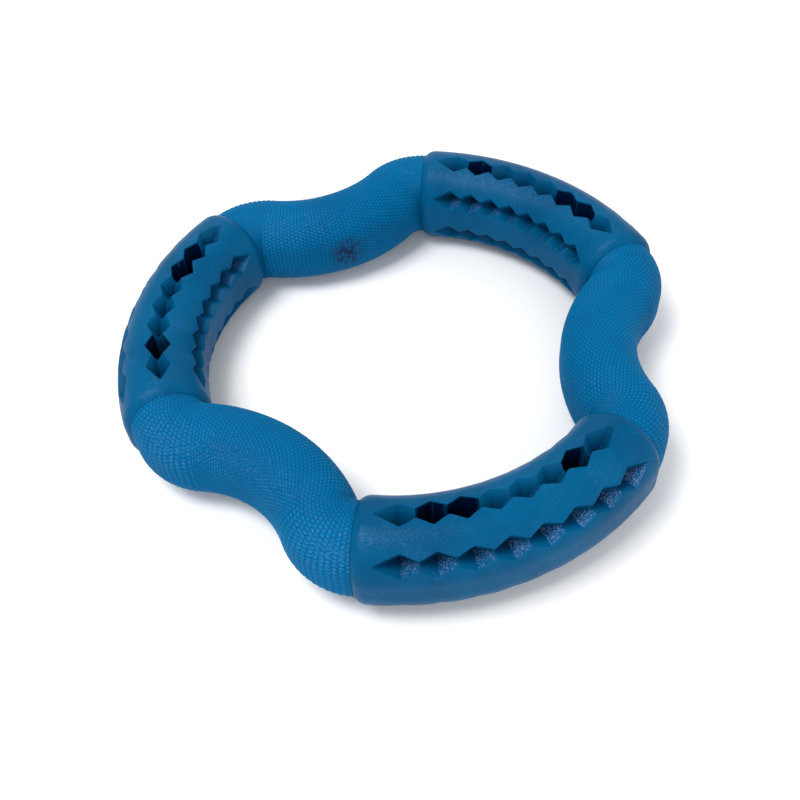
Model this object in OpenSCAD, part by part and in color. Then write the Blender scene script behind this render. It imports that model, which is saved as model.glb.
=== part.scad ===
// Flying ring moulded in natural rubber. Three fat slotted segments alternate with three thinner
// wave grips that bow in towards the centre. Each grip ends in two hidden spigots, and each
// spigot is bonded into a socket in the end of a segment.
// The origin is the centre of the ring at its mid-plane, and +Z is up.

/* [Ring] */
// Outside diameter over the slotted segments
ring_d = 180; // [176:1:190]
// Height of the straight flank between the round top and the round bottom of the section
flank_h = 5; // [3:0.2:7]

/* [Slotted segments] */
// Width of a segment
segment_w = 26.8; // [26:0.2:28]
// Angle of the ring that one segment fills
segment_span = 63.5; // [62:0.5:65]
// Length of the rounded shoulder at each end of a segment
shoulder_l = 3.5; // [2.5:0.5:4.5]

/* [Pockets] */
// Angle from one pocket of a row to the next
pocket_pitch = 6.5; // [6.2:0.1:6.7]
// Length of a top pocket from tip to tip
pocket_l = 14; // [13:0.5:14.5]
// Width of a top pocket between its two blunt corners
pocket_w = 7.8; // [7:0.2:8.4]
// Width of a side pocket between its two blunt corners
side_pocket_w = 7.3; // [6.5:0.1:7.5]
// Depth of a shallow pocket at its lowest point
pocket_depth = 6.5; // [5:0.5:7]
// Angle round the section from the top row to the side rows
row_spacing = 63; // [60:1:65]
// Angle by which all the rows lean towards the centre of the ring
row_lean = 6.5; // [3:0.5:8]
// The top pockets that go right through, counted counter-clockwise from 0
through_pockets = [1, 2, 6]; // [1:1:6]

/* [Wave grips] */
// Width of a grip
grip_w = 23.2; // [22:0.2:23.6]
// Distance that the middle of a grip lies nearer the centre than its ends
wave_dip = 15.6; // [14:0.2:17]
// Bend radius of the grip's centre line next to a segment
end_bend_r = 13; // [12.5:0.5:15]

/* [Bonded joints] */
// Diameter of the spigot at each end of a grip
spigot_d = 10; // [8:0.5:11]
// Length of a spigot
spigot_l = 8; // [7:0.5:9]
// Diameter of the bead that locks a spigot in its socket
bead_d = 12; // [11.5:0.5:12.5]
// Width of the bead
bead_w = 2; // [1:0.5:3]

/* [Hidden] */
$fn = 96;

segment_color = [0.05, 0.36, 0.60];
grip_color = [0.06, 0.40, 0.66];

// Angles of the middle of each piece round the ring, with the first segment at the front
segment_places = [270, 30, 150];
grip_places = [330, 90, 210];

segment_r = segment_w / 2;
grip_r = grip_w / 2;
half_flank = flank_h / 2;
half_h = segment_r + half_flank;
spine_r = ring_d / 2 - segment_r;

// The shoulder rounds the end of a segment down to the width of a grip. It starts square from the
// end of the segment's round body, so the seam is parallel to that end and a shoulder further on.
shoulder_depth = segment_r - grip_r;
shoulder_r = (shoulder_l ^ 2 + shoulder_depth ^ 2) / (2 * shoulder_depth);
body_half_a = segment_span / 2 - atan(shoulder_l / spine_r);
grip_end_a = 60 - body_half_a;

// The centre line of a grip is one middle arc between two end arcs, all tangent
end_centre = polar(spine_r - end_bend_r, grip_end_a) - polar(shoulder_l, grip_end_a + 90);
dip_from_end_centre = spine_r - wave_dip - end_centre.x;
middle_bend_r = (dip_from_end_centre ^ 2 + end_centre.y ^ 2 - end_bend_r ^ 2)
    / (2 * (end_bend_r - dip_from_end_centre));
middle_centre_x = spine_r - wave_dip + middle_bend_r;
middle_half_a = atan2(end_centre.y, middle_centre_x - end_centre.x);

// A stretch that runs on into its neighbour is a hair thinner, so that their surfaces cross cleanly
join_step = 0.02;
join_overlap = 0.3;
joined_r = grip_r - join_step;
shoulder_edge_r = segment_r - join_step;
join_a = atan(join_overlap / end_bend_r);

// A core inside each end of a segment makes the three stretches of the shoulder one solid
core_l = 6;
core_r = grip_r - 2;

pockets_in_row = 8;
row_angles = [for (k = [-1, 0, 1]) k * row_spacing - row_lean];
top_row_r = row_r(-row_lean);
// Angle from the middle of a pocket to either of its tips
pocket_half_a = atan(pocket_l / 2 / top_row_r);
// Through pockets run this much past their necks, so that neighbours open into each other
neck_overlap_a = 0.05;
clearance_above = 1;

// Distance from the ring's axis to the middle of a row at this angle round the section
function row_r(angle) = spine_r + segment_r * sin(angle);

// Half width to give a tapering pocket, so that its width is right where it meets the round surface
function rim_half_w(half_w) =
    let (drop = segment_r - sqrt(segment_r ^ 2 - half_w ^ 2))
    half_w * pocket_depth / (pocket_depth - drop);

function polar(r, angle) = [r * cos(angle), r * sin(angle)];

// Section of a piece: a racetrack standing on end
module section(r) {
    for (side = [-1, 1])
        translate([0, side * half_flank]) circle(r);
    square([2 * r, flank_h], center = true);
}

// The section swept about the Z axis
module bend(r, bend_r, from_a, sweep_a) {
    rotate([0, 0, from_a])
        rotate_extrude(angle = sweep_a)
            translate([bend_r, 0]) section(r);
}

// Puts its children at both ends of a piece, at this angle and then `onwards` along +Y
module at_ends(end_a, onwards) {
    for (side = [0, 1])
        mirror([0, side, 0])
            rotate([0, 0, end_a])
                translate([spine_r, onwards, 0]) children();
}

// Section of the rounded end of a segment, from the middle out to its edge
module rounded_edge() {
    bend_centre_x = shoulder_edge_r - shoulder_r;
    translate([0, -join_overlap]) square([bend_centre_x, join_overlap + shoulder_l]);
    intersection() {
        translate([bend_centre_x, 0]) circle(shoulder_r);
        translate([bend_centre_x - join_overlap, -join_overlap])
            square([join_overlap + shoulder_r, join_overlap + shoulder_l]);
    }
}

// Rounded end of a segment, along +Y to the seam
module shoulder() {
    for (side = [0, 1])
        mirror([0, 0, side])
            translate([0, 0, half_flank])
                rotate([-90, 0, 0])
                    rotate([0, 0, 180]) rotate_extrude(angle = 180) rounded_edge();
    linear_extrude(flank_h, center = true) {
        rounded_edge();
        mirror([1, 0]) rounded_edge();
    }
    translate([0, shoulder_l / 2, 0])
        rotate([90, 0, 0])
            linear_extrude(core_l) section(core_r);
}

// Spigot along +Y from the seam, with its bead. It starts just before the seam, inside the grip.
module spigot() {
    rotate([-90, 0, 0]) {
        translate([0, 0, -join_overlap])
            cylinder(d = spigot_d, h = join_overlap + spigot_l);
        translate([0, 0, (spigot_l - bead_w) / 2])
            cylinder(d = bead_d, h = bead_w);
    }
}

// V-shaped prism along Y, with its edge at the bottom and `half_w` wide either side at z = 0
module wedge(half_w, depth, length) {
    over = 1.6;
    rotate([90, 0, 0])
        linear_extrude(length, center = true)
            polygon([
                [0, -depth],
                [over * half_w, (over - 1) * depth],
                [-over * half_w, (over - 1) * depth]
            ]);
}

// Pyramid with its point down and its rhombic rim at z = 0, long along Y
module rhombic_pyramid(half_l, half_w, depth) {
    edge_distance = half_l * half_w / norm([half_l, half_w]);
    edge_a = atan2(half_w, half_l);
    intersection() {
        rotate([0, 0, edge_a]) wedge(edge_distance, depth, 4 * half_l);
        rotate([0, 0, -edge_a]) wedge(edge_distance, depth, 4 * half_l);
    }
}

// One shallow pocket of the row at this angle round the section
module shallow_pocket(row_angle, half_w) {
    translate([spine_r, 0, half_flank])
        rotate([0, row_angle, 0])
            translate([0, 0, segment_r])
                rhombic_pyramid(row_r(row_angle) * tan(pocket_half_a), rim_half_w(half_w), pocket_depth);
}

// One rhombic pocket that goes right through, cut off square where it meets its neighbours
module through_pocket() {
    half_w = pocket_w / 2;
    neck_a = pocket_pitch / 2 + neck_overlap_a;
    neck_half_w = half_w * (1 - neck_a / pocket_half_a);
    linear_extrude(2 * (half_h + clearance_above), center = true)
        polygon([
            [top_row_r + half_w, 0],
            polar(top_row_r + neck_half_w, neck_a),
            polar(top_row_r - neck_half_w, neck_a),
            [top_row_r - half_w, 0],
            polar(top_row_r - neck_half_w, -neck_a),
            polar(top_row_r + neck_half_w, -neck_a)
        ]);
}

function is_through(place) = len([for (p = through_pockets) if (p == place) p]) > 0;

// All the pockets of a segment: three rows above the mid-plane and their mirror image below
module pockets() {
    for (place = [0 : pockets_in_row - 1])
        rotate([0, 0, (place - (pockets_in_row - 1) / 2) * pocket_pitch]) {
            if (is_through(place)) through_pocket();
            for (upside = [0, 1])
                mirror([0, 0, upside]) {
                    if (!is_through(place)) shallow_pocket(row_angles[1], pocket_w / 2);
                    shallow_pocket(row_angles[0], side_pocket_w / 2);
                    shallow_pocket(row_angles[2], side_pocket_w / 2);
                }
        }
}

// Fat segment with rows of pockets and a socket in each end
module slotted_segment(place) {
    color(segment_color)
        rotate([0, 0, segment_places[place]])
            difference() {
                union() {
                    bend(segment_r, spine_r, -body_half_a, 2 * body_half_a);
                    at_ends(body_half_a, 0) shoulder();
                }
                at_ends(body_half_a, shoulder_l) mirror([0, 1, 0]) spigot();
                pockets();
            }
}

// Thin grip that waves in towards the centre, with a spigot on each end
module wave_grip(place) {
    color(grip_color)
        rotate([0, 0, grip_places[place]]) {
            translate([middle_centre_x, 0, 0])
                bend(grip_r, middle_bend_r, 180 - middle_half_a, 2 * middle_half_a);
            for (side = [0, 1])
                mirror([0, side, 0])
                    translate(end_centre)
                        bend(joined_r, end_bend_r, -middle_half_a - join_a, middle_half_a + join_a + grip_end_a);
            at_ends(grip_end_a, -shoulder_l) spigot();
        }
}

slotted_segment(0);  // slotted_segment_1
slotted_segment(1);  // slotted_segment_2
slotted_segment(2);  // slotted_segment_3
wave_grip(0);  // wave_grip_1
wave_grip(1);  // wave_grip_2
wave_grip(2);  // wave_grip_3
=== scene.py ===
"""Rubber flying ring: three slotted segments and three pimpled wave grips, on a pale floor."""
import math

import bpy
import numpy as np
from mathutils import Matrix, Vector


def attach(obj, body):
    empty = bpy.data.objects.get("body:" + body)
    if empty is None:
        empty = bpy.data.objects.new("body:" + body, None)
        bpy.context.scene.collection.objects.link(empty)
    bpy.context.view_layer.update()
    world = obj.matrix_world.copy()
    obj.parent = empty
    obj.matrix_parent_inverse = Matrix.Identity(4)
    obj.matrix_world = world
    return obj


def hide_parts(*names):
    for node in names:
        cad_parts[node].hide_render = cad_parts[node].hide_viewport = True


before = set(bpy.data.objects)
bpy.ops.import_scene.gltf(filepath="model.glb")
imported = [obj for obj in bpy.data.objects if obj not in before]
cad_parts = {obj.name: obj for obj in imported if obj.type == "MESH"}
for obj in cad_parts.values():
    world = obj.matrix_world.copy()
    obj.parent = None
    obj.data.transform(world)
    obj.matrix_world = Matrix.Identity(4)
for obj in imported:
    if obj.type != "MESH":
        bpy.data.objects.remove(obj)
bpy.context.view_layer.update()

MM = 0.001

# The ring, in millimetres, as the CAD model has it
RING_D = 180.0
FLANK_H = 5.0
SEGMENT_W = 26.8
SEGMENT_SPAN = 63.5
SHOULDER_L = 3.5
GRIP_W = 23.2
WAVE_DIP = 15.6
END_BEND_R = 13.0

# The pockets
POCKETS_IN_ROW = 8
POCKET_PITCH = 6.5
POCKET_L = 14.0
POCKET_W = 7.8
SIDE_POCKET_W = 7.3
POCKET_DEPTH = 6.5
ROW_SPACING = 63.0
ROW_LEAN = 6.5
THROUGH_POCKETS = (1, 2, 6)

# How far the pockets' cutters run on: past the necks in degrees, past the rims as a factor, and past
# the top and bottom in millimetres
NECK_OVERLAP_A = 0.05
POCKET_OVER = 1.15
THROUGH_OVER = 1.0

# The bonded joints
SPIGOT_D = 10.0
SPIGOT_L = 8.0
BEAD_D = 12.0
BEAD_W = 2.0
SPIGOT_LEAD = 1.0

# Angles of the middle of each piece round the ring
SEGMENT_PLACES = (270.0, 30.0, 150.0)
GRIP_PLACES = (330.0, 90.0, 210.0)

# Mesh detail
SECTION_POINTS = 240
SEGMENT_STEPS = 180
SHOULDER_STEPS = 8
VOXEL = 0.2
EDGE_SMOOTHING = 4
SEGMENT_FACES = 190000
SPIGOT_SIDES = 48

# The pimples of the grips. Their tops stand PIMPLE_PROUD outside the CAD model's surface, and a foot is
# a pimple's radius as a share of the pitch.
PIMPLE_PITCH = 1.25
PIMPLE_ROW_PITCH = 1.09
PIMPLE_H = 0.34
PIMPLE_PROUD = 0.12
PIMPLE_FOOT = 0.46
PIMPLE_ROUNDING = 0.8
SAMPLES_ACROSS = 5
SAMPLES_ALONG = 4

# Scales of the rubber's noises, in cells to the metre
CLOUDS = 45
BLOOM_PATCHES = 70
BLOOM_SPECKS = 1500
GLINT_SPECKS = 2300
SHEEN_PATCHES = 420
SMUDGE_SPECKS = 500
GRAIN = 1900
GRAIN_H = 0.08

# Faint violet bloom on the rubber
BLOOM = (0.014, 0.11, 0.27)

# Painted highlight glints: bright specks painted where the surface faces one way, the key light's highlight
# direction. They are strongest in the pockets, then on the grips.
GLINT = (0.15, 0.23, 0.50)
POCKET_GLINT_FACING = (-0.42, -0.10, 0.90)
SEGMENT_GLINT_FACING = (-0.32, -0.30, 0.90)
GRIP_GLINT_FACING = (-0.52, -0.52, 0.68)
POCKET_GLINT = 0.7
SEGMENT_GLINT = 0.2
GRIP_GLINT = 0.6

# Angles off that way, in degrees, within which the specks are at full strength and at which they end
POCKET_GLINT_REACH = (9, 27)
SKIN_GLINT_REACH = (4, 18)

# A point deeper than this is in a pocket, and the last bit of a segment counts as not deep at all
POCKET_FROM = 0.4
NO_DEPTH_END_A = 0.5

# The one dark smudge, on the inner side of the second grip
SMUDGE = (0.012, 0.018, 0.055)
SMUDGE_AT = (-0.9, 49.6, -0.6)
SMUDGE_R = 8.0

# The floor, and the soft boxes: name, azimuth, elevation, distance and size in metres, and watts.
# Azimuth 0 is in front of the ring, on -Y, and 90 is on +X.
FLOOR_HALF = 1.5
FLOOR_WHITE = 0.93
WORLD_STRENGTH = 0.55
SOFT_BOXES = (
    ("key", -85, 67, 0.9, 0.4, 6.2),
    ("right", 75, 22, 1.2, 1.0, 3),
    ("back", 165, 30, 1.2, 1.0, 3),
    ("front", -10, 28, 1.2, 1.0, 4.4),
)

CAMERA_AZIMUTH = -18.68
CAMERA_ELEVATION = 49.68
CAMERA_DISTANCE = 294.15
CAMERA_ROLL = 4.66
CAMERA_AIM = (-10.08, -21.33, 0.0)
FOCAL_LENGTH = 43.5

SEGMENT_R = SEGMENT_W / 2
GRIP_R = GRIP_W / 2
HALF_FLANK = FLANK_H / 2
HALF_H = SEGMENT_R + HALF_FLANK
SPINE_R = RING_D / 2 - SEGMENT_R
SHOULDER_DEPTH = SEGMENT_R - GRIP_R
SHOULDER_R = (SHOULDER_L ** 2 + SHOULDER_DEPTH ** 2) / (2 * SHOULDER_DEPTH)
BODY_HALF_A = SEGMENT_SPAN / 2 - math.degrees(math.atan(SHOULDER_L / SPINE_R))
GRIP_END_A = 60 - BODY_HALF_A
MIDDLE_PLACE = (POCKETS_IN_ROW - 1) / 2


def polar(radius, degrees):
    """Point in the plane at this distance and angle from the origin."""
    angle = math.radians(degrees)
    return np.array([radius * math.cos(angle), radius * math.sin(angle)])


def new_object(name, vertices, faces):
    """Mesh object from points in millimetres, smooth shaded."""
    mesh = bpy.data.meshes.new(name)
    mesh.from_pydata((np.asarray(vertices) * MM).tolist(), [], faces)
    mesh.shade_smooth()
    piece = bpy.data.objects.new(name, mesh)
    bpy.context.scene.collection.objects.link(piece)
    return piece


def applied(piece):
    """Replaces a piece's mesh by what its modifiers make of it, and clears them."""
    graph = bpy.context.evaluated_depsgraph_get()
    mesh = bpy.data.meshes.new_from_object(piece.evaluated_get(graph))
    old = piece.data
    piece.modifiers.clear()
    piece.data = mesh
    bpy.data.meshes.remove(old)
    mesh.shade_smooth()


def racetrack(radius, count):
    """Points evenly spaced round the section from its outer flank, and their normals, as (outwards, up)."""
    flank, arc = FLANK_H, math.pi * radius
    total = 2 * (flank + arc)
    points, normals = [], []
    for i in range(count):
        s = (i / count * total + flank / 2) % total
        if s < flank:
            points.append((radius, s - flank / 2))
            normals.append((1.0, 0.0))
            continue
        s -= flank
        if s < arc:
            angle = s / radius
            normals.append((math.cos(angle), math.sin(angle)))
            points.append((radius * math.cos(angle), flank / 2 + radius * math.sin(angle)))
            continue
        s -= arc
        if s < flank:
            points.append((-radius, flank / 2 - s))
            normals.append((-1.0, 0.0))
            continue
        s -= flank
        angle = math.pi + s / radius
        normals.append((math.cos(angle), math.sin(angle)))
        points.append((radius * math.cos(angle), -flank / 2 + radius * math.sin(angle)))
    return np.array(points), np.array(normals)


def ring_faces(rings, count):
    """Quads between successive rings of `count` points, with a cap on each end."""
    faces = []
    for r in range(rings - 1):
        for i in range(count):
            j = (i + 1) % count
            faces.append((r * count + j, r * count + i, (r + 1) * count + i, (r + 1) * count + j))
    faces.append(tuple(range(count)))
    last = rings * count - 1
    faces.append(tuple(range(last, last - count, -1)))
    return faces


# ---------------------------------------------------------------- slotted segments


def segment_blank():
    """A segment without its pockets, centred on +X: a swept racetrack with rounded shoulders."""
    shoulder = []
    for onwards in np.linspace(0, SHOULDER_L, SHOULDER_STEPS + 1)[1:]:
        shoulder.append((onwards, SEGMENT_R - SHOULDER_R + math.sqrt(SHOULDER_R ** 2 - onwards ** 2)))
    stations = [(-BODY_HALF_A, -onwards, radius) for onwards, radius in reversed(shoulder)]
    body = np.linspace(-BODY_HALF_A, BODY_HALF_A, SEGMENT_STEPS + 1)
    stations += [(angle, 0.0, SEGMENT_R) for angle in body]
    stations += [(BODY_HALF_A, onwards, radius) for onwards, radius in shoulder]
    vertices = []
    for angle, onwards, radius in stations:
        out, along = polar(1, angle), polar(1, angle + 90)
        offsets, _ = racetrack(radius, SECTION_POINTS)
        flat = np.outer(SPINE_R + offsets[:, 0], out) + onwards * along
        vertices.append(np.column_stack([flat, offsets[:, 1]]))
    return new_object("blank", np.vstack(vertices), ring_faces(len(stations), SECTION_POINTS))


def convex(bottom, top):
    """Vertices and faces of a solid between two rings of points, or between one point and a ring."""
    vertices = [*bottom, *top]
    lower, count = len(bottom), len(top)
    faces = [tuple(lower + i for i in range(count))]
    for i in range(count):
        j = (i + 1) % count
        if lower == 1:
            faces.append((0, lower + j, lower + i))
        else:
            faces.append((i, j, lower + j, lower + i))
    if lower > 1:
        faces.append(tuple(range(lower - 1, -1, -1)))
    return vertices, faces


def row_r(row_angle):
    """Distance from the ring's axis to the middle of a row of pockets."""
    return SPINE_R + SEGMENT_R * math.sin(math.radians(row_angle))


def shallow_pocket(row_angle, half_w):
    """Upside-down pyramid with a rhombic rim, on the row at this angle from the crown."""
    top_half_a = POCKET_L / 2 / row_r(-ROW_LEAN)
    half_l = row_r(row_angle) * top_half_a
    drop = SEGMENT_R - math.sqrt(SEGMENT_R ** 2 - half_w ** 2)
    half_w = half_w * POCKET_DEPTH / (POCKET_DEPTH - drop)
    rim = [(half_w, 0), (0, half_l), (-half_w, 0), (0, -half_l)]
    top = [(POCKET_OVER * x, POCKET_OVER * y, (POCKET_OVER - 1) * POCKET_DEPTH) for x, y in rim]
    place = (
        Matrix.Translation((SPINE_R, 0, HALF_FLANK))
        @ Matrix.Rotation(math.radians(row_angle), 4, "Y")
        @ Matrix.Translation((0, 0, SEGMENT_R))
    )
    vertices, faces = convex([(0, 0, -POCKET_DEPTH)], top)
    return [tuple(place @ Vector(v)) for v in vertices], faces


def through_pocket():
    """Rhombic hole from top to bottom, cut off square at its necks."""
    half_w, radius = POCKET_W / 2, row_r(-ROW_LEAN)
    half_a = math.degrees(POCKET_L / 2 / radius)
    neck_a = POCKET_PITCH / 2 + NECK_OVERLAP_A
    neck = half_w * (1 - neck_a / half_a)
    outline = [
        (radius + half_w, 0),
        polar(radius + neck, neck_a),
        polar(radius - neck, neck_a),
        (radius - half_w, 0),
        polar(radius - neck, -neck_a),
        polar(radius + neck, -neck_a),
    ]
    reach = HALF_H + THROUGH_OVER
    return convex([(x, y, -reach) for x, y in outline], [(x, y, reach) for x, y in outline])


def pocket_cutters(parity):
    """Every second pocket of all six rows, so that no two of them touch."""
    vertices, faces = [], []

    def add(solid, place, flip):
        base = len(vertices)
        turn = Matrix.Rotation(math.radians((place - MIDDLE_PLACE) * POCKET_PITCH), 4, "Z")
        for v in solid[0]:
            point = turn @ Vector(v)
            if flip:
                point.z = -point.z
            vertices.append(tuple(point))
        for f in solid[1]:
            f = tuple(reversed(f)) if flip else f
            faces.append(tuple(base + i for i in f))

    for place in range(parity, POCKETS_IN_ROW, 2):
        if place in THROUGH_POCKETS:
            add(through_pocket(), place, False)
        for flip in (False, True):
            if place not in THROUGH_POCKETS:
                add(shallow_pocket(-ROW_LEAN, POCKET_W / 2), place, flip)
            for side in (-1, 1):
                add(shallow_pocket(side * ROW_SPACING - ROW_LEAN, SIDE_POCKET_W / 2), place, flip)
    return new_object("cutters", vertices, faces)


def spigot_profile():
    """Spigot with its bead, as (radius, distance from the seam), from a little before the seam."""
    r, bead = SPIGOT_D / 2, BEAD_D / 2
    start = (SPIGOT_L - BEAD_W) / 2
    end = start + BEAD_W
    return [(r, -SPIGOT_LEAD), (r, start), (bead, start), (bead, end), (r, end), (r, SPIGOT_L)]


def spigots(end_a, onwards, sign):
    """The spigots at both ends of a piece, pointing out of it (sign 1) or into it (sign -1)."""
    profile = spigot_profile()
    vertices, faces = [], []
    for end in (-1, 1):
        out, along = polar(1, end * end_a), end * polar(1, end * end_a + 90)
        base = len(vertices)
        for radius, depth in profile:
            for k in range(SPIGOT_SIDES):
                x, z = polar(radius, 360 * k / SPIGOT_SIDES)
                flat = (SPINE_R + x) * out + (onwards + sign * depth) * along
                vertices.append((flat[0], flat[1], z))
        tube = ring_faces(len(profile), SPIGOT_SIDES)
        if end * sign < 0:
            tube = [tuple(reversed(f)) for f in tube]
        faces += [tuple(base + i for i in f) for f in tube]
    return vertices, faces


def store(mesh, name, values):
    """Gives each point of the mesh a value that its material reads."""
    attribute = mesh.attributes.new(name, "FLOAT", "POINT")
    attribute.data.foreach_set("value", np.asarray(values, dtype=np.float32))


def subtract(piece, cutter):
    """Cuts one closed solid out of another and deletes the cutter."""
    cut = piece.modifiers.new("cut", "BOOLEAN")
    cut.operation = "DIFFERENCE"
    cut.solver = "MANIFOLD"
    cut.object = cutter
    applied(piece)
    bpy.data.objects.remove(cutter)


def store_segment_depth(mesh):
    """Stores how far each point lies below the segment's plain surface, with more in the through holes, for
    the painted shade in the pockets.
    """
    points = np.empty(3 * len(mesh.vertices), dtype=np.float32)
    mesh.vertices.foreach_get("co", points)
    x, y, z = points.reshape(-1, 3).T / MM
    out, angle = np.hypot(x, y), np.degrees(np.arctan2(y, x))
    depth = SEGMENT_R - np.hypot(out - SPINE_R, np.maximum(np.abs(z) - HALF_FLANK, 0))
    depth[np.abs(angle) > BODY_HALF_A - NO_DEPTH_END_A] = 0
    # The through holes count as deeper only so that their painted shade is darker.
    in_hole = np.isin(np.rint(angle / POCKET_PITCH + MIDDLE_PLACE), THROUGH_POCKETS)
    in_hole &= np.abs(out - row_r(-ROW_LEAN)) < POCKET_W / 2 + VOXEL
    depth[in_hole & (depth > POCKET_FROM)] += POCKET_DEPTH
    store(mesh, "depth", depth)


def segment_mesh():
    """The mesh of one segment, centred on +X."""
    piece = segment_blank()
    subtract(piece, new_object("sockets", *spigots(BODY_HALF_A, SHOULDER_L, -1)))
    subtract(piece, pocket_cutters(0))
    subtract(piece, pocket_cutters(1))
    cells = piece.modifiers.new("cells", "REMESH")
    cells.mode = "VOXEL"
    cells.voxel_size = VOXEL * MM
    soften = piece.modifiers.new("soften", "SMOOTH")
    soften.factor = 0.5
    soften.iterations = EDGE_SMOOTHING
    applied(piece)
    triangles = sum(len(p.vertices) - 2 for p in piece.data.polygons)
    thin = piece.modifiers.new("thin", "DECIMATE")
    thin.ratio = min(1.0, SEGMENT_FACES / triangles)
    applied(piece)
    mesh = piece.data
    bpy.data.objects.remove(piece)
    store_segment_depth(mesh)
    return mesh


# ---------------------------------------------------------------- wave grips


def grip_spine():
    """The centre line of a grip centred on +X, as arcs (centre, radius, first angle, last angle)."""
    end = polar(SPINE_R - END_BEND_R, GRIP_END_A) - polar(SHOULDER_L, GRIP_END_A + 90)
    dip = SPINE_R - WAVE_DIP - end[0]
    middle_r = (dip ** 2 + end[1] ** 2 - END_BEND_R ** 2) / (2 * (END_BEND_R - dip))
    middle = np.array([SPINE_R - WAVE_DIP + middle_r, 0.0])
    turn = math.degrees(math.atan2(end[1], middle[0] - end[0]))
    other_end = np.array([end[0], -end[1]])
    return [
        (other_end, END_BEND_R, -GRIP_END_A, turn),
        (middle, middle_r, 180 + turn, 180 - turn),
        (end, END_BEND_R, -turn, GRIP_END_A),
    ]


def along_spine(arcs, distance):
    """Point and outward direction on the centre line, this far from its start."""
    for centre, radius, first, last in arcs:
        length = radius * math.radians(abs(last - first))
        if distance <= length + 1e-9 or centre is arcs[-1][0]:
            angle = first + (last - first) * distance / length
            out = polar(1, angle)
            return centre + radius * out, out if last > first else -out
        distance -= length
    raise ValueError(distance)


def pimple_height(across, along):
    """Height of the pimpled skin. Both arguments count pimples, and every other row is set over."""
    best = np.full(across.shape, np.inf)
    row = np.floor(along)
    for step in (0, 1):
        centre_row = row + step
        shift = 0.5 * (centre_row % 2)
        dx = (across - shift + 0.5) % 1.0 - 0.5
        dy = (along - centre_row) * PIMPLE_ROW_PITCH / PIMPLE_PITCH
        best = np.minimum(best, dx ** 2 + dy ** 2)
    return PIMPLE_H * np.clip(1 - best / PIMPLE_FOOT ** 2, 0, 1) ** PIMPLE_ROUNDING


def grip_mesh():
    """The mesh of one grip, centred on +X, with its pimples and its spigots."""
    arcs = grip_spine()
    total = sum(r * math.radians(abs(b - a)) for _, r, a, b in arcs)
    rows = round(total / PIMPLE_ROW_PITCH)
    around = round(2 * (FLANK_H + math.pi * GRIP_R) / PIMPLE_PITCH)
    count = around * SAMPLES_ACROSS
    offsets, normals = racetrack(GRIP_R, count)
    across = np.arange(count) / SAMPLES_ACROSS
    rings = rows * SAMPLES_ALONG + 1
    vertices, depth = [], []
    for k in range(rings):
        centre, out = along_spine(arcs, total * k / (rings - 1))
        height = pimple_height(across, np.full(count, k / SAMPLES_ALONG))
        # The depth below the pimples' tops drives the painted shade between the pimples.
        depth.append(PIMPLE_H - height)
        skin = offsets + normals * (height - PIMPLE_H + PIMPLE_PROUD)[:, None]
        flat = centre + np.outer(skin[:, 0], out)
        vertices.append(np.column_stack([flat, skin[:, 1]]))
    vertices = np.vstack(vertices)
    faces = ring_faces(rings, count)
    ends, end_faces = spigots(GRIP_END_A, -SHOULDER_L, 1)
    faces += [tuple(len(vertices) + i for i in f) for f in end_faces]
    piece = new_object("grip", np.vstack([vertices, ends]), faces)
    mesh = piece.data
    bpy.data.objects.remove(piece)
    store(mesh, "depth", np.concatenate([*depth, np.zeros(len(ends))]))
    return mesh


# ---------------------------------------------------------------- materials


class Nodes:
    """Short forms for building a material's nodes."""

    def __init__(self, name):
        self.material = bpy.data.materials.new(name)
        self.material.use_nodes = True
        self.tree = self.material.node_tree
        self.shader = self.tree.nodes["Principled BSDF"]

    def add(self, kind, **settings):
        """A new node with these settings."""
        node = self.tree.nodes.new(kind)
        for key, value in settings.items():
            setattr(node, key, value)
        return node

    def link(self, source, target):
        """Joins an output to an input."""
        self.tree.links.new(source, target)

    def noise(self, scale, detail=2.0, roughness=0.5):
        """Noise of this many cells to the metre, from 0 to 1 and mostly near 0.5."""
        where = self.add("ShaderNodeTexCoord")
        noise = self.add("ShaderNodeTexNoise")
        noise.inputs["Scale"].default_value = scale
        noise.inputs["Detail"].default_value = detail
        noise.inputs["Roughness"].default_value = roughness
        self.link(where.outputs["Object"], noise.inputs["Vector"])
        return noise.outputs["Fac"]

    def span(self, value, low, high, to_low=0.0, to_high=1.0):
        """Maps low..high onto to_low..to_high and stops at both ends."""
        node = self.add("ShaderNodeMapRange")
        node.inputs["From Min"].default_value = low
        node.inputs["From Max"].default_value = high
        node.inputs["To Min"].default_value = to_low
        node.inputs["To Max"].default_value = to_high
        self.link(value, node.inputs["Value"])
        return node.outputs["Result"]

    def times(self, a, b):
        """The product of two values."""
        node = self.add("ShaderNodeMath", operation="MULTIPLY")
        self.link(a, node.inputs[0])
        self.link(b, node.inputs[1])
        return node.outputs[0]

    def smudge(self, centre, radius):
        """1 in the middle of a ragged round patch, falling to 0 at its edge."""
        where = self.add("ShaderNodeTexCoord")
        apart = self.add("ShaderNodeVectorMath", operation="DISTANCE")
        apart.inputs[1].default_value = [c * MM for c in centre]
        self.link(where.outputs["Object"], apart.inputs[0])
        inside = self.span(apart.outputs["Value"], radius * MM / 4, radius * MM, 1.0, 0.0)
        return self.times(inside, self.span(self.noise(SMUDGE_SPECKS, 3, 0.7), 0.35, 0.6))

    def mix(self, fac, a, b):
        """Colour a where fac is 0 and colour b where it is 1."""
        node = self.add("ShaderNodeMix", data_type="RGBA")
        self.link(fac, node.inputs["Factor"])
        for value, socket in ((a, node.inputs["A"]), (b, node.inputs["B"])):
            if isinstance(value, tuple):
                socket.default_value = (*value, 1.0)
            else:
                self.link(value, socket)
        return node.outputs["Result"]


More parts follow.
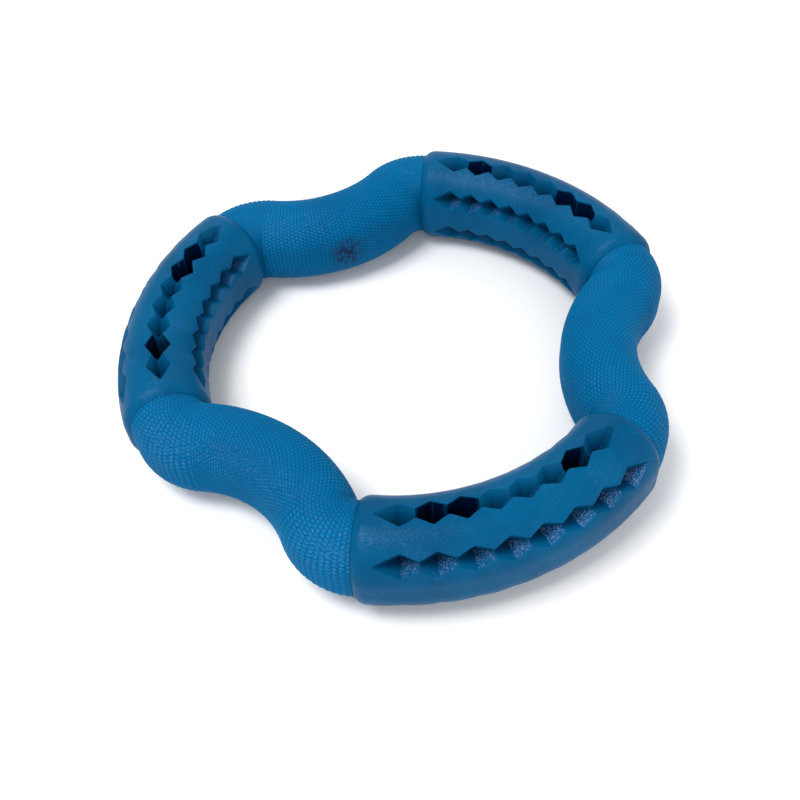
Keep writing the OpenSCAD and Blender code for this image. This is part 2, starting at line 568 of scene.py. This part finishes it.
def rubber(name, base, deep, dark, dark_from, dark_to, roughness, gloss, smudged=False):
    """Satin rubber: cloudy from base to deep, painted shade towards dark from dark_from to dark_to mm down,
    fine specks and painted highlight glints.
    """
    n = Nodes(name)
    colour = n.mix(n.span(n.noise(CLOUDS, 4, 0.6), 0.38, 0.62), deep, base)
    patches = n.span(n.noise(BLOOM_PATCHES, 3, 0.6), 0.54, 0.7)
    bloom = n.times(patches, n.span(n.noise(BLOOM_SPECKS, 2, 0.7), 0.45, 0.7))
    colour = n.mix(bloom, colour, BLOOM)
    # Painted shade: the colour darkens towards dark the deeper a point lies in a pocket or between the
    # pimples.
    below = n.add("ShaderNodeAttribute", attribute_name="depth").outputs["Fac"]
    colour = n.mix(n.span(below, dark_from, dark_to), colour, dark)
    # Painted highlight: glint specks painted into the colour where the surface faces the key light's
    # highlight direction.
    strength = n.add("ShaderNodeAttribute", attribute_name="glint").outputs["Fac"]
    glints = n.times(strength, n.span(n.noise(GLINT_SPECKS, 1), 0.48, 0.66))
    colour = n.mix(glints, colour, GLINT)
    if smudged:
        colour = n.mix(n.smudge(SMUDGE_AT, SMUDGE_R), colour, SMUDGE)
    n.link(colour, n.shader.inputs["Base Color"])
    sheen = n.span(n.noise(SHEEN_PATCHES, 3), 0.3, 0.7, roughness - 0.05, roughness + 0.05)
    n.link(sheen, n.shader.inputs["Roughness"])
    bump = n.add("ShaderNodeBump")
    bump.inputs["Strength"].default_value = 1.0
    bump.inputs["Distance"].default_value = GRAIN_H * MM
    n.link(n.noise(GRAIN, 2, 0.5), bump.inputs["Height"])
    n.link(bump.outputs["Normal"], n.shader.inputs["Normal"])
    n.shader.inputs["IOR"].default_value = 1.45
    n.shader.inputs["Specular IOR Level"].default_value = gloss
    return n.material


# ---------------------------------------------------------------- the pieces


def facing(normals, direction, near, far):
    """1 where a normal lies within `near` degrees of the direction, falling to 0 at `far` degrees."""
    unit = np.array(direction) / np.linalg.norm(direction)
    apart = np.degrees(np.arccos(np.clip(normals @ unit, -1, 1)))
    return np.clip((far - apart) / (far - near), 0, 1)


def set_glint(mesh, skin_facing, skin_glint):
    """Stores how strongly each point shows the painted highlight glints, by how near its normal faces the
    highlight direction.
    """
    count = len(mesh.vertices)
    normals = np.empty(3 * count, dtype=np.float32)
    mesh.vertex_normals.foreach_get("vector", normals)
    normals = normals.reshape(-1, 3)
    depth = np.empty(count, dtype=np.float32)
    mesh.attributes["depth"].data.foreach_get("value", depth)
    in_pocket = POCKET_GLINT * facing(normals, POCKET_GLINT_FACING, *POCKET_GLINT_REACH)
    on_skin = skin_glint * facing(normals, skin_facing, *SKIN_GLINT_REACH)
    store(mesh, "glint", np.where(depth > POCKET_FROM, in_pocket, on_skin))


def place_three(mesh, places, name, material, skin_facing, skin_glint):
    """Three copies of a piece round the ring, each standing for its CAD node."""
    for index, angle in enumerate(places):
        copy = mesh.copy()
        copy.transform(Matrix.Rotation(math.radians(angle), 4, "Z"))
        set_glint(copy, skin_facing, skin_glint)
        copy.materials.clear()
        copy.materials.append(material)
        piece = bpy.data.objects.new(f"{name}_{index + 1}_rubber", copy)
        bpy.context.scene.collection.objects.link(piece)
        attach(piece, "root")
        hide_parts(f"{name}_{index + 1}")


segment_rubber = rubber(
    "segment_rubber",
    base=(0.0003, 0.086, 0.203),
    deep=(0.0003, 0.066, 0.163),
    # dark, dark_from and dark_to paint shade into the pockets, darkest in the through holes.
    dark=(0.0002, 0.008, 0.038),
    dark_from=0.9,
    dark_to=7.6,
    roughness=0.34,
    gloss=0.045,
)
grip_rubber = rubber(
    "grip_rubber",
    base=(0.0003, 0.143, 0.325),
    deep=(0.0003, 0.112, 0.265),
    # dark, dark_from and dark_to paint shade into the grooves between the pimples.
    dark=(0.0002, 0.078, 0.205),
    dark_from=0.1,
    dark_to=PIMPLE_H,
    roughness=0.4,
    gloss=0.03,
    smudged=True,
)
place_three(
    segment_mesh(), SEGMENT_PLACES, "slotted_segment", segment_rubber,
    SEGMENT_GLINT_FACING, SEGMENT_GLINT,
)
place_three(
    grip_mesh(), GRIP_PLACES, "wave_grip", grip_rubber,
    GRIP_GLINT_FACING, GRIP_GLINT,
)


# ---------------------------------------------------------------- floor, lights and camera


def away(azimuth, elevation):
    """Unit vector from the ring towards this azimuth and elevation."""
    a, e = math.radians(azimuth), math.radians(elevation)
    return Vector((math.sin(a) * math.cos(e), -math.cos(a) * math.cos(e), math.sin(e)))


def floor():
    """Pale plain floor under the ring."""
    h, z = FLOOR_HALF, -HALF_H * MM
    mesh = bpy.data.meshes.new("floor")
    mesh.from_pydata([(-h, -h, z), (h, -h, z), (h, h, z), (-h, h, z)], [], [(0, 1, 2, 3)])
    stage = bpy.data.objects.new("floor", mesh)
    bpy.context.scene.collection.objects.link(stage)
    n = Nodes("floor_paper")
    n.shader.inputs["Base Color"].default_value = (FLOOR_WHITE, FLOOR_WHITE, FLOOR_WHITE, 1)
    n.shader.inputs["Roughness"].default_value = 0.9
    mesh.materials.append(n.material)


def soft_box(name, azimuth, elevation, distance, size, watts):
    """Square area light aimed at the ring."""
    light = bpy.data.lights.new(name, "AREA")
    light.size = size
    light.energy = watts
    lamp = bpy.data.objects.new(name, light)
    back = away(azimuth, elevation)
    lamp.location = back * distance
    lamp.rotation_euler = (-back).to_track_quat("-Z", "Y").to_euler()
    bpy.context.scene.collection.objects.link(lamp)


def studio():
    """White surroundings and the soft boxes."""
    world = bpy.data.worlds.new("studio")
    world.use_nodes = True
    world.node_tree.nodes["Background"].inputs["Color"].default_value = (1, 1, 1, 1)
    world.node_tree.nodes["Background"].inputs["Strength"].default_value = WORLD_STRENGTH
    bpy.context.scene.world = world
    for box in SOFT_BOXES:
        soft_box(*box)
    bpy.context.scene.view_settings.view_transform = "Standard"


def camera():
    """The scene's camera, aimed at CAMERA_AIM and rolled a little."""
    data = bpy.data.cameras.new("camera")
    data.lens = FOCAL_LENGTH
    data.sensor_width = 36.0
    data.clip_start = 0.01
    view = bpy.data.objects.new("camera", data)
    back = away(CAMERA_AZIMUTH, CAMERA_ELEVATION)
    place = Vector(CAMERA_AIM) * MM + back * CAMERA_DISTANCE * MM
    roll = Matrix.Rotation(-math.radians(CAMERA_ROLL), 3, "Z")
    turn = (-back).to_track_quat("-Z", "Y").to_matrix() @ roll
    view.matrix_world = Matrix.Translation(place) @ turn.to_4x4()
    bpy.context.scene.collection.objects.link(view)
    bpy.context.scene.camera = view


floor()
studio()
camera()
